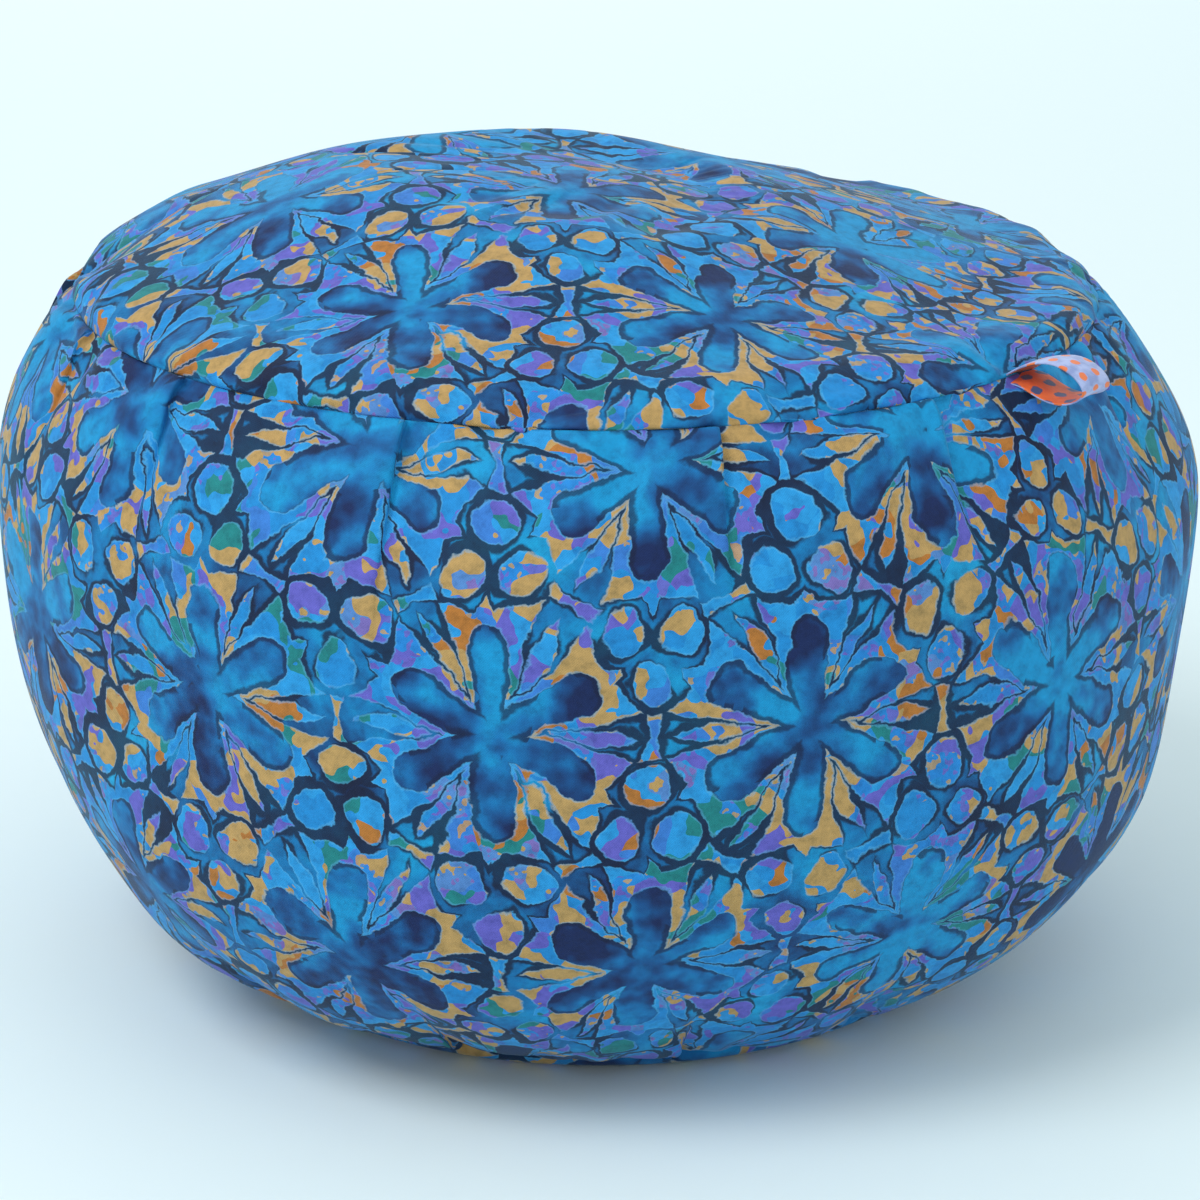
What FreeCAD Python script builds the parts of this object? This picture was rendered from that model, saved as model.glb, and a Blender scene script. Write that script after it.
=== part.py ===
import FreeCAD, Part
import math
import os

# Round sitting cushion: a firm filling in a sewn liner, inside a zipped cotton cover made of
# a round top panel, a pleated side band and a round base panel. Millimetres, +Z up, the
# cushion stands on z = 0 with its axis on the Z axis and its front towards -Y.

CLOTH = 0.8            # cover cloth
LINING = 0.6           # liner cloth
HEIGHT = 270.0         # floor to the crown
WAIST_R = 196.5        # largest radius of the side band
WAIST_Z = 158.0
TOP_SEAM_R = 171.5     # seam between the top panel and the side band
TOP_SEAM_Z = 228.0
BASE_SEAM_R = 127.5    # seam between the side band and the base panel
BASE_SEAM_Z = 6.0
FOOT_R = 112.0         # the base panel lies flat out to here
SEAM_GAP = 0.3         # between neighbouring panels
LINER_INSET = 8.0      # liner inside the cover, on the side
ALLOWANCE = 8.0        # cloth turned in at a seam

REAR_START, REAR_END = 10.0, 170.0      # rear side pieces, degrees about Z from +X
ZIP_Z = 70.0                            # height of the zip
ZIP_START, ZIP_END = 13.0, 167.0        # coil, end to end
ZIP_EDGE = 5.2                          # cloth edge to the middle of the zip
TAPE_WIDTH = 15.0
SLIDER_AT = 16.2                        # closed position of the slider
SLIDER_LENGTH = 13.0
PULL_LENGTH = 24.0

LOOP_AT = 321.5        # ribbon loop in the top seam, degrees about Z
RIBBON_WIDTH = 15.0
RIBBON = 0.5
LOOP_REACH = 26.5


def band_radius(z):
    """Radius of the side band's outer face at height z."""
    if z >= WAIST_Z:
        depth = (WAIST_R - TOP_SEAM_R) / (1 - math.sqrt(1 - ((TOP_SEAM_Z - WAIST_Z) / 100.0) ** 2))
        return WAIST_R - depth + depth * math.sqrt(1 - ((z - WAIST_Z) / 100.0) ** 2)
    core = 88.0
    below = (WAIST_Z - z) / WAIST_Z
    return core + (WAIST_R - core) * (1 - below ** 2.4) ** (1 / 2.4)


def band_points(low, high, inset=0.0, count=9):
    """Points (r, z) up the side band between two heights, moved inwards by inset."""
    heights = [low + (high - low) * i / (count - 1.0) for i in range(count)]
    return [(band_radius(z) - inset, z) for z in heights]


def dome_points(seam_r, seam_z, crown_z, count=7):
    """Points (r, z) of a shallow dome, seam to crown."""
    rise = crown_z - seam_z
    ball = (seam_r ** 2 + rise ** 2) / (2 * rise)
    radii = [seam_r * (1 - i / (count - 1.0)) for i in range(count)]
    return [(r, crown_z - ball + math.sqrt(ball ** 2 - r ** 2)) for r in radii]


def vec(r, z):
    return FreeCAD.Vector(r, 0, z)


def curve(points):
    line = Part.BSplineCurve()
    line.interpolate([vec(r, z) for r, z in points])
    return line.toShape()


def inwards(points, distance):
    """The same line moved inwards, square to itself (points run upwards, or seam to crown)."""
    moved = []
    for i, (r, z) in enumerate(points):
        r0, z0 = points[max(i - 1, 0)]
        r1, z1 = points[min(i + 1, len(points) - 1)]
        size = math.hypot(r1 - r0, z1 - z0)
        x = r - distance * (z1 - z0) / size
        moved.append((0.0 if r == 0 else x, z + distance * (r1 - r0) / size))
    return moved


def turn(edges, start=0.0, end=360.0):
    """Turns a closed outline in the XZ plane about Z, from one angle to another."""
    face = Part.Face(Part.Wire(Part.sortEdges(edges)[0]))
    solid = face.revolve(FreeCAD.Vector(), FreeCAD.Vector(0, 0, 1), end - start)
    solid.rotate(FreeCAD.Vector(), FreeCAD.Vector(0, 0, 1), start)
    return solid if solid.Volume > 0 else solid.reversed()


def skin(points, thick, start=0.0, end=360.0):
    """A cloth piece: a line and the same line moved inwards, turned about Z."""
    inner = inwards(points, thick)
    ends = [Part.makeLine(vec(*points[i]), vec(*inner[i])) for i in (0, -1)]
    return turn([curve(points), curve(inner)] + ends, start, end)


def polygon(points):
    corners = [vec(r, z) for r, z in points]
    return [Part.makeLine(corners[i - 1], corners[i]) for i in range(len(corners))]


def base_panel(seam_r, seam_z, foot_r, floor, thick):
    """Flat disc with its rim curving up to the seam."""
    def rim(inset):
        low, high = floor + inset, seam_z + inset * 0.5
        out = seam_r - inset * 0.8
        middle = vec(foot_r + (out - foot_r) * 0.56, low + (high - low) * 0.28)
        return Part.Arc(vec(foot_r, low), middle, vec(out, high)).toShape(), vec(out, high), low
    outer, outer_end, low = rim(0.0)
    inner, inner_end, high = rim(thick)
    edges = [outer, inner, Part.makeLine(outer_end, inner_end),
             Part.makeLine(vec(0, low), vec(foot_r, low)),
             Part.makeLine(vec(0, high), vec(foot_r, high)),
             Part.makeLine(vec(0, low), vec(0, high))]
    return turn(edges)


def cover():
    """Top panel, side band in three pieces, base panel and the two turned-in seams."""
    step = SEAM_GAP / 2
    low, high = BASE_SEAM_Z + step, TOP_SEAM_Z - CLOTH - SEAM_GAP
    gap = math.degrees(SEAM_GAP / BASE_SEAM_R)
    lean = zip_lean()
    edge_up = ZIP_Z + ZIP_EDGE * math.cos(lean)
    edge_down = ZIP_Z - ZIP_EDGE * math.cos(lean)
    top = dome_points(TOP_SEAM_R, TOP_SEAM_Z + step, HEIGHT)
    rear = (REAR_START + gap, REAR_END - gap)
    return {
        "cover_top_panel": skin(top, CLOTH),
        "cover_side_band_front": skin(band_points(low, high, 0, 13), CLOTH,
                                      REAR_END, REAR_START + 360),
        "cover_side_band_rear_upper": skin(band_points(edge_up, high), CLOTH, *rear),
        "cover_side_band_rear_lower": skin(band_points(low, edge_down), CLOTH, *rear),
        "cover_base_panel": base_panel(BASE_SEAM_R, BASE_SEAM_Z - step, FOOT_R, 0.0, CLOTH),
        "top_seam_allowance": skin(
            inwards(band_points(high - 1 - ALLOWANCE, high - 1, 0, 5), CLOTH + 0.3), 2 * CLOTH),
        "base_seam_allowance": skin(
            inwards(band_points(low + 2.4, low + 6, 0, 5), CLOTH + 0.2), 2 * CLOTH),
    }


def zip_lean():
    """How far the band leans out from the vertical at the zip."""
    return math.atan2(band_radius(ZIP_Z + 2) - band_radius(ZIP_Z - 2), 4.0)


def at_zip(out, up):
    """A point (r, z) beside the middle of the zip: outwards from the cloth, and up along it."""
    lean = zip_lean()
    return (band_radius(ZIP_Z) + out * math.cos(lean) + up * math.sin(lean),
            ZIP_Z - out * math.sin(lean) + up * math.cos(lean))


def zip_block(out0, out1, up0, up1, start, end):
    """A block that follows the zip round the cushion."""
    corners = [(out0, up0), (out1, up0), (out1, up1), (out0, up1)]
    return turn(polygon([at_zip(*c) for c in corners]), start, end)


def chain():
    """Two tapes, two coils and the two end stops."""
    parts = {}
    for name, side in (("upper", 1), ("lower", -1)):
        tape = sorted((0.8 * side, TAPE_WIDTH * side))
        coil = sorted((0.8 * side, 3.4 * side))
        parts["zip_tape_" + name] = zip_block(-3.4, -2.8, tape[0], tape[1],
                                              ZIP_START - 2, ZIP_END + 2)
        parts["zip_coil_" + name] = zip_block(-2.7, -0.2, coil[0], coil[1], ZIP_START, ZIP_END)
    parts["zip_stop_closed_end"] = zip_block(-2.7, -0.1, -3.4, 3.4, ZIP_START - 1, ZIP_START - 0.1)
    parts["zip_stop_open_end"] = zip_block(-2.7, -0.1, -3.4, 3.4, ZIP_END + 0.1, ZIP_END + 1)
    return parts


def zip_frame(out):
    """Placement at the closed slider: x along the zip, y out of the cloth, z up along it."""
    r, z = at_zip(out, 0)
    turn_z = FreeCAD.Rotation(FreeCAD.Vector(0, 0, 1), SLIDER_AT - 90)
    lean = FreeCAD.Rotation(FreeCAD.Vector(1, 0, 0), -math.degrees(zip_lean()))
    angle = math.radians(SLIDER_AT)
    place = FreeCAD.Vector(r * math.cos(angle), r * math.sin(angle), z)
    return FreeCAD.Placement(place, turn_z.multiply(lean))


def placed(shape, out):
    shape.Placement = zip_frame(out).multiply(shape.Placement)
    return shape


def slider():
    """Two plates round the coil joined by a thin wedge, side flanges, and the lug for the pull."""
    half = math.degrees(SLIDER_LENGTH / 2 / band_radius(ZIP_Z))
    a, b = SLIDER_AT - half, SLIDER_AT + half
    body = zip_block(0.1, 1.1, -4.7, 4.7, a, b)
    body = body.fuse(zip_block(-4.7, -3.7, -4.7, 4.7, a, b))
    body = body.fuse(zip_block(-4.0, 0.4, -0.5, 0.5, a, a + half * 0.5))
    for side in (1, -1):
        lo, hi = sorted((3.9 * side, 4.7 * side))
        body = body.fuse(zip_block(-2.4, 0.3, lo, hi, a, b))
    lug = Part.makeBox(5.0, 3.6, 2.6, FreeCAD.Vector(-2.5, -2.0, -1.3))
    lug = lug.makeFillet(1.2, [e for e in lug.Edges if e.BoundBox.ZLength > 2
                               and e.BoundBox.YMax > 1.0])
    bore = Part.makeCylinder(0.9, 6, FreeCAD.Vector(0, 0, -3))
    return body.fuse(placed(lug.cut(bore), 2.9)).removeSplitter()


def pull():
    """Pin through the lug, two arms beside it and a flat blade lying along the zip."""
    pin = Part.makeCylinder(0.8, 6.0, FreeCAD.Vector(0, 0, -3))
    shape = pin
    for side in (1, -1):
        arm = Part.makeBox(5.6, 1.2, 1.4, FreeCAD.Vector(-5.6, -0.6, 1.6 if side > 0 else -3.0))
        knuckle = Part.makeCylinder(1.1, 1.4, FreeCAD.Vector(0, 0, 1.6 if side > 0 else -3.0))
        shape = shape.fuse(arm).fuse(knuckle)
    blade = Part.makeBox(PULL_LENGTH - 4.0, 1.2, 6.0, FreeCAD.Vector(-PULL_LENGTH, -0.6, -3))
    blade = blade.makeFillet(2.4, [e for e in blade.Edges if e.BoundBox.YLength > 1
                                   and e.BoundBox.XMax < 1 - PULL_LENGTH])
    hole = Part.makeCylinder(1.4, 4, FreeCAD.Vector(3.6 - PULL_LENGTH, -2, 0),
                             FreeCAD.Vector(0, 1, 0))
    return placed(shape.fuse(blade.cut(hole)).removeSplitter(), 2.9)


def label_loop():
    """Ribbon folded double, both ends in the top seam, standing out of it and drooping a little."""
    start = TOP_SEAM_R + 1.0
    above = [(0.24, 4.5), (0.53, 6.1), (0.82, 2.5)]
    under = [(0.72, -7.8), (0.37, -7.8)]

    def teardrop(inset):
        root = vec(start + 5 * inset, TOP_SEAM_Z + 0.5)
        over = [vec(start + LOOP_REACH * x, TOP_SEAM_Z + z - inset) for x, z in above]
        fold = [vec(start + LOOP_REACH - inset, TOP_SEAM_Z - 3.2)]
        back = [vec(start + LOOP_REACH * x, TOP_SEAM_Z + z + inset) for x, z in under]
        line = Part.BSplineCurve()
        line.interpolate([root] + over + fold + back + [root])
        return Part.Face(Part.Wire([line.toShape()]))
    ring = teardrop(0).cut(teardrop(RIBBON))
    loop = ring.extrude(FreeCAD.Vector(0, RIBBON_WIDTH, 0))
    loop.translate(FreeCAD.Vector(0, -RIBBON_WIDTH / 2, 0))
    loop.rotate(FreeCAD.Vector(), FreeCAD.Vector(0, 0, 1), LOOP_AT)
    return loop


def liner_and_filling():
    """Plain inner bag in three panels, and the filling as one closed body inside it."""
    low, high = BASE_SEAM_Z + 1.6, TOP_SEAM_Z - 6.0
    r_low = band_radius(low) - LINER_INSET
    r_high = band_radius(high) - LINER_INSET
    side = band_points(low, high - LINING - SEAM_GAP, LINER_INSET, 11)
    fill_side = band_points(low + 1.5, high - 1.5, LINER_INSET + 2.0, 11)
    crown = dome_points(fill_side[-1][0], fill_side[-1][1], HEIGHT - 3.4)
    foot = (FOOT_R - 6, 2.6)
    filling = turn([curve(fill_side), curve(crown), Part.makeLine(vec(0, foot[1]), vec(*foot)),
                    Part.makeLine(vec(*foot), vec(*fill_side[0])),
                    Part.makeLine(vec(0, foot[1]), vec(*crown[-1]))])
    return {
        "liner_top_panel": skin(dome_points(r_high, high, HEIGHT - 1.8), LINING),
        "liner_side_band": skin(side, LINING),
        "liner_base_panel": base_panel(r_low, low - 0.3, FOOT_R - 3, 1.3, LINING),
        "filling": filling,
    }


os.makedirs("parts", exist_ok=True)
pieces = cover()
pieces.update(chain())
pieces.update(liner_and_filling())
pieces["zip_slider"] = slider()
pieces["zip_pull"] = pull()
pieces["label_loop"] = label_loop()
for name, shape in pieces.items():
    if not shape.isValid():
        print("not valid:", name)
    solids = shape.Solids
    print(name, len(solids), "solid", round(shape.Volume), "mm3")
    (solids[0] if len(solids) == 1 else shape).exportStep("parts/%s.step" % name)
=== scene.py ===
# Round sitting cushion in printed cotton, standing on the floor with its front towards -Y.
# Metres and +Z up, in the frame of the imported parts.
import math
import bpy
import numpy as np
from mathutils import Matrix, Vector


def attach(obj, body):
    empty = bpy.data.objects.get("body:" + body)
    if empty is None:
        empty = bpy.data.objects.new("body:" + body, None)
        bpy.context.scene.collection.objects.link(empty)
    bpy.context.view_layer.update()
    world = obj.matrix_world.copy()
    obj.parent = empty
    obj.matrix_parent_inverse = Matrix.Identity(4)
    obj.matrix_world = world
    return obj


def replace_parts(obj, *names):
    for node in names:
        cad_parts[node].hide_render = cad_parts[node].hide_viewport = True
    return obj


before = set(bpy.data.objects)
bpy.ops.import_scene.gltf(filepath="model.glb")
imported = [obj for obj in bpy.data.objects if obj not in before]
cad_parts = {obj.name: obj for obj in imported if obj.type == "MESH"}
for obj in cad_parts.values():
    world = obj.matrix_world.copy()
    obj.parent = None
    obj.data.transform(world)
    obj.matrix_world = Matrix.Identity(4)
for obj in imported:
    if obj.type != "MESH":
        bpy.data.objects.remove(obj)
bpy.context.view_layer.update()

# ---- The cover, cut and sewn --------------------------------------------------------------
# Two round panels and a side band of plain cotton, sewn wrong side out and turned. The band
# is longer than the edge of the panels, so it is let in with flat tucks folded at each seam.
crown_z, top_r, top_z = 0.270, 0.1715, 0.228
waist_r, waist_z = 0.1965, 0.158
base_r, base_z, foot_r = 0.1275, 0.006, 0.112
zip_z, zip_edge = 0.070, 0.0052
# places of the tucks, in degrees round from the front towards +X, and the lengths of their folds
tucks = [-93, -68, -46.6, -19, 12, 36.5, 66, 91, 116, 141, 166, 191, 216, 241]
tuck_length = [0.05, 0.044, 0.050, 0.092, 0.066, 0.056, 0.05, 0.05, 0.045, 0.06, 0.05, 0.055, 0.045, 0.05]
low_tuck_length = 0.030
# half the width of a fold on the cut, in degrees, and how far its lip and its valley slide over each other
tuck_half, lip_slide, valley_slide = 0.22, 0.62, 0.42
side_joins = [100.0, 260.0]


def side_radius(z):
    """Radius of the side band at a height, before tucks and creases."""
    z = np.asarray(z, float)
    depth = (waist_r - top_r) / (1 - math.sqrt(1 - ((top_z - waist_z) / 0.1) ** 2))
    above = waist_r - depth + depth * np.sqrt(np.clip(1 - ((z - waist_z) / 0.1) ** 2, 0, 1))
    # below the waist the band turns in like a flattened circle
    inner, power = 0.088, 2.4
    below = inner + (waist_r - inner) * (1 - np.clip((waist_z - z) / waist_z, 0, 1) ** power) ** (1 / power)
    return np.where(z >= waist_z, above, below)


def rows_of_cloth():
    """Rows of the cover from crown to middle of the base: panel, r, z, distance along its own cut."""
    rows = []
    rise = crown_z - top_z
    ball = (top_r ** 2 + rise ** 2) / (2 * rise)
    reach = ball * math.asin(top_r / ball)
    close = np.array([0.012, 0.009, 0.006, 0.0035, 0.0015, 0.0])
    for s in np.concatenate([np.linspace(0.004, reach - 0.012, 28)[:-1], reach - close]):
        rows.append(("top", ball * math.sin(s / ball), crown_z - ball + ball * math.cos(s / ball), s))
    z = np.linspace(top_z, base_z, 4000)
    r = side_radius(z)
    run = np.concatenate([[0], np.cumsum(np.hypot(np.diff(z), np.diff(r)))])
    lean = math.atan2(float(side_radius(zip_z + 0.002) - side_radius(zip_z - 0.002)), 0.004)
    edges = (zip_z + zip_edge * math.cos(lean), zip_z - zip_edge * math.cos(lean))
    zip_up, zip_down = (float(np.interp(-edge, -z, run)) for edge in edges)
    stops = [*close[::-1][1:], *np.linspace(0.012, zip_up, 28)[1:], *np.linspace(zip_up, zip_down, 4)[1:],
             *np.linspace(zip_down, run[-1] - 0.012, 9)[1:], *(run[-1] - np.array([0.009, 0.006, 0.003, 0.0]))]
    rows += [("side", float(np.interp(s, run, r)), float(np.interp(s, run, z)), s) for s in stops]
    roll = 0.018
    for t in (0.2, 0.4, 0.6, 0.8, 1.0):
        rise = 1 - math.sin(t * math.pi / 2)
        rows.append(("base", foot_r + (base_r - foot_r) * rise, base_z * rise ** 2, foot_r + roll * (1 - t)))
    rows += [("base", s, 0.0, s) for s in np.linspace(foot_r, 0.004, 14)[1:]]
    return rows, zip_up, zip_down, lean


def columns_of_cloth():
    """Columns round the cover: angle, the tuck it folds in, and +1 on a fold's lip or -1 in its valley."""
    stations = sorted([(t, i) for i, t in enumerate(tucks)] + [(j, None) for j in side_joins])
    columns = []
    for n, (start, tuck) in enumerate(stations):
        end, next_tuck = stations[(n + 1) % len(stations)]
        end += 360 if n == len(stations) - 1 else 0
        first, last = start, end - (tuck_half if next_tuck is not None else 0)
        if tuck is None:
            columns.append((start, None, 0))
        else:
            columns += [(start - tuck_half, tuck, 1), (start + tuck_half, tuck, -1)]
            first = start + tuck_half
        between = np.linspace(first + 1.7, last - 1.7, max(2, round((last - first - 3.4) / 1.75) + 1))
        columns += [(a, None, 0) for a in [first + 0.7, *between, last - 0.7]]
    return columns


rows, zip_up, zip_down, zip_lean = rows_of_cloth()
columns = columns_of_cloth()
turned = np.array([c[0] for c in columns])
angle = np.radians(turned)
panel = np.array([r[0] for r in rows])
row_r, row_z, run = (np.array([r[k] for r in rows]) for k in (1, 2, 3))
is_top, is_side = (panel == "top")[:, None], (panel == "side")[:, None]
top_seam, base_seam = np.where(panel == "top")[0][-1], np.where(panel == "side")[0][-1]
from_top_seam = np.where(is_top, run[top_seam] - run[:, None], np.where(is_side, run[:, None], 1.0))
from_base_seam = np.where(is_side, run[base_seam] - run[:, None], 1.0)
marks = np.radians(np.array(tucks + [tucks[0] + 360.0]))
sector = (np.searchsorted(marks, angle, "right") - 1) % len(tucks)
# the zip's stretch of the band, where the cloth lies flat against the tapes
at_zip = np.where(is_side, np.exp(-((run - (zip_up + zip_down) / 2) / 0.022)[:, None] ** 4), 0)
at_zip = at_zip * np.clip((92 - np.abs(turned - 180)) / 8, 0, 1)[None]


def soft_lumps(seed, x, y, z, size):
    """Smooth unevenness between about -1 and 1, the same every time."""
    rng = np.random.default_rng(seed)
    total = np.zeros_like(x)
    for _ in range(14):
        d = rng.normal(size=3)
        d /= np.linalg.norm(d)
        wave = 2 * math.pi / (size * rng.uniform(0.7, 1.6))
        total += np.sin((x * d[0] + y * d[1] + z * d[2]) * wave + rng.uniform(0, 6.28))
    return total / 3.7


# the cover starts this much too small, and the filling may push it out by no more than the second
room_to_swell, most_swell = 0.0080, 0.0065


def sewn_shape():
    """The turned-out cover as a grid of points, row by row from the crown."""
    r, z = (np.repeat(v[:, None], len(columns), 1) for v in (row_r, row_z))
    a = np.repeat(angle[None], len(rows), 0)
    along_r, along_z = np.gradient(row_r), np.gradient(row_z)
    size = np.hypot(along_r, along_z)
    out_r, out_z = (-along_z / size)[:, None], (along_r / size)[:, None]
    out = np.zeros_like(r)
    # flat tucks: the lip of each fold lies over its valley, deepest at the seam
    for k, place in enumerate(tucks):
        arc = ((angle - math.radians(place) + math.pi) % (2 * math.pi) - math.pi)[None] * r
        lip, valley = (np.array([c[1] == k and c[2] == way for c in columns])[None] for way in (1, -1))
        for depth, reach in ((np.where(is_side, from_top_seam, 1.0), tuck_length[k]),
                             (from_base_seam, low_tuck_length)):
            fade = np.clip(1 - depth / reach, 0, 1) ** 1.2
            a = a + fade * (lip * math.radians(lip_slide) - valley * math.radians(valley_slide))
            out += fade * (lip * 0.0016 - valley * 0.0030)
            beside = np.where(arc < 0, 0.0014 * np.exp(np.minimum(arc, 0) / 0.008),
                              -0.0026 * np.exp(-np.maximum(arc, 0) / 0.010))
            out += ~(lip | valley) * fade * beside
    # the band puffs out between tucks, and both panels roll into the seams
    part = (angle - marks[sector]) / (marks[sector + 1] - marks[sector])
    puff = np.sin(np.clip(part, 0, 1) * math.pi)[None]
    upper, lower = np.where(is_side, from_top_seam, 0) / 0.022, np.where(is_side, from_base_seam, 0) / 0.020
    upper, lower = upper * np.exp(1 - upper), lower * np.exp(1 - lower)
    out += 0.0030 * (puff - 0.45) * np.clip(upper + 0.6 * lower, 0, 1)
    out -= 0.0034 * np.exp(-(from_top_seam / 0.0034) ** 1.2) + 0.0030 * np.exp(-(from_base_seam / 0.004) ** 1.2)
    # the filling has settled: higher on the left of the crown, uneven all over, slack enough to swell
    x, y = r * np.sin(a), -r * np.cos(a)
    z = z - 0.50 * np.where(is_top, z - top_z, 0.0) * x / top_r
    slack = (1 - np.exp(-(from_top_seam / 0.02) ** 2)) * (1 - np.exp(-(from_base_seam / 0.02) ** 2))
    uneven = soft_lumps(5, x, y, z, 0.16) * 0.0022 + soft_lumps(9, x, y, z, 0.07) * 0.0008
    out += (uneven - room_to_swell) * slack * (is_top | is_side)
    # the right shoulder and the left foot have sunk in
    sunk = 0.008 * np.clip(x / 0.17, 0, 1) * np.exp(-((z - 0.215) / 0.035) ** 2)
    sunk += 0.0015 * np.clip(np.cos(a + 0.6), 0, 1) * np.exp(-(z / 0.05) ** 2) * (z > 0.0001)
    r = r - sunk
    # pull lines in the top panel where the ribbon loop is sewn in
    for bearing, deep in ((47.0, 0.0016), (54.0, 0.0011)):
        off = (a - math.radians(bearing)) * r
        pull = deep * np.exp(-(off / 0.0035) ** 2) * np.exp(-from_top_seam / 0.028)
        out += np.where(is_top & (from_top_seam > 0.002), pull, 0)
    # the band's own joins are pressed open, and the cloth beside the zip stays put
    for join in side_joins:
        off = np.abs(angle - math.radians(join))[None] * r
        out -= np.where(is_side, 0.0016 * np.exp(-(off / 0.003) ** 1.2), 0)
    out *= 1 - at_zip
    r, z = r + out_r * out, z + out_z * out
    return np.stack([r * np.sin(a), -r * np.cos(a), z], -1)


def cloth_mesh(name, grid, place, closed=False, poles=()):
    """A mesh from rows of points with their places on the cut. A pole closes a round panel at its middle."""
    count, around = grid.shape[:2]
    points = np.concatenate([grid.reshape(-1, 3), *(np.array([p]) for p, _, _ in poles)])
    flat = np.concatenate([place.reshape(-1, 2), *(np.array([p]) for _, p, _ in poles)])
    faces = []
    for i in range(count - 1):
        for j in range(around if closed else around - 1):
            k = (j + 1) % around
            faces.append((i * around + j, (i + 1) * around + j, (i + 1) * around + k, i * around + k))
    for n, (_, _, row) in enumerate(poles):
        for j in range(around):
            pair = (row * around + j, row * around + (j + 1) % around)
            faces.append((count * around + n, *(pair if row == 0 else pair[::-1])))
    mesh = bpy.data.meshes.new(name)
    mesh.from_pydata(points.tolist(), [], faces)
    corners = flat[[v for face in faces for v in face]]
    mesh.uv_layers.new(name="cut").data.foreach_set("uv", corners.reshape(-1))
    mesh.polygons.foreach_set("use_smooth", [True] * len(faces))
    made = bpy.data.objects.new(name, mesh)
    bpy.context.scene.collection.objects.link(made)
    return made


cover = sewn_shape()
poles = [(cover[0].mean(0), (0, 0), 0), (cover[-1].mean(0), (0, 0), len(rows) - 1)]
# the filling pushes the cloth out for twenty frames; seams, base and zip are held
whole = cloth_mesh("cover_in_one", cover, np.zeros(cover.shape[:2] + (2,)), True, poles)
held = np.zeros(cover.shape[:2], bool)
held[:6] = held[top_seam] = held[base_seam:] = True
held |= at_zip > 0.85
group = whole.vertex_groups.new(name="held")
group.add([int(i) for i in np.where(held.reshape(-1))[0]] + [held.size, held.size + 1], 1.0, "REPLACE")
swell = whole.modifiers.new("swell", "CLOTH")
swell.collision_settings.use_self_collision = swell.collision_settings.use_collision = False
cotton = swell.settings
cotton.vertex_group_mass = "held"
cotton.quality, cotton.mass = 5, 0.3
cotton.tension_stiffness = cotton.compression_stiffness = 15
cotton.shear_stiffness, cotton.bending_stiffness = 5, 0.12
cotton.use_pressure, cotton.uniform_pressure_force = True, 4.0
cotton.shrink_min = -0.04
cotton.effector_weights.gravity = 0.0
for step in range(1, 21):
    bpy.context.scene.frame_set(step)
swollen = bpy.data.meshes.new_from_object(whole.evaluated_get(bpy.context.evaluated_depsgraph_get()))
blown = np.empty(len(swollen.vertices) * 3)
swollen.vertices.foreach_get("co", blown)
moved = blown.reshape(-1, 3)[:cover.size // 3].reshape(cover.shape) - cover
far = np.linalg.norm(moved, axis=2, keepdims=True)
cover = cover + moved * np.minimum(far, most_swell) / np.maximum(far, 1e-9)
bpy.context.scene.frame_set(1)
bpy.data.objects.remove(whole)
bpy.data.meshes.remove(swollen)

# ---- The printed cotton -------------------------------------------------------------------
# Batik: a hand block of six-petalled flowers on a lattice of triangles, printed in wax and dyed in
# several baths, on a plain-weave cotton. The print repeats every 94 mm along a row.
print_pitch = 0.094
# plain weave, drawn at 0.8 mm a thread pair, about twice a usual pitch, so that it shows
thread_pitch = 0.0008


def paint(hexed):
    """An sRGB hex colour as the linear colour that a socket takes."""
    parts = [int(hexed[i:i + 2], 16) / 255 for i in (1, 3, 5)]
    return tuple(c / 12.92 if c <= 0.04045 else ((c + 0.055) / 1.055) ** 2.4 for c in parts) + (1.0,)


def add(tree, kind, *values, stops=(), **settings):
    """One node, such as "Math.ADD": its settings, its values and links in order or by socket, and a ramp's stops."""
    kind, _, operation = kind.partition(".")
    made = tree.nodes.new(kind if "Node" in kind else "ShaderNode" + kind)
    if operation:
        made.operation = operation
    for key, value in settings.items():
        setattr(made, key, value)
    given = values[0] if values and isinstance(values[0], dict) else dict(enumerate(values))
    for key, value in given.items():
        into = made.inputs[key] if isinstance(key, int) else next(s for s in made.inputs if s.name == key and s.enabled)
        if isinstance(value, bpy.types.Node):
            value = next(s for s in value.outputs if s.enabled)
        if isinstance(value, bpy.types.NodeSocket):
            tree.links.new(value, into)
        else:
            into.default_value = value
    if stops:
        marks = made.color_ramp.elements
        marks.remove(marks[-1])
        marks[0].position, marks[0].color = stops[0][0], paint(stops[0][1])
        for at, colour in stops[1:]:
            marks.new(at).color = paint(colour)
    return made


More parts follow.
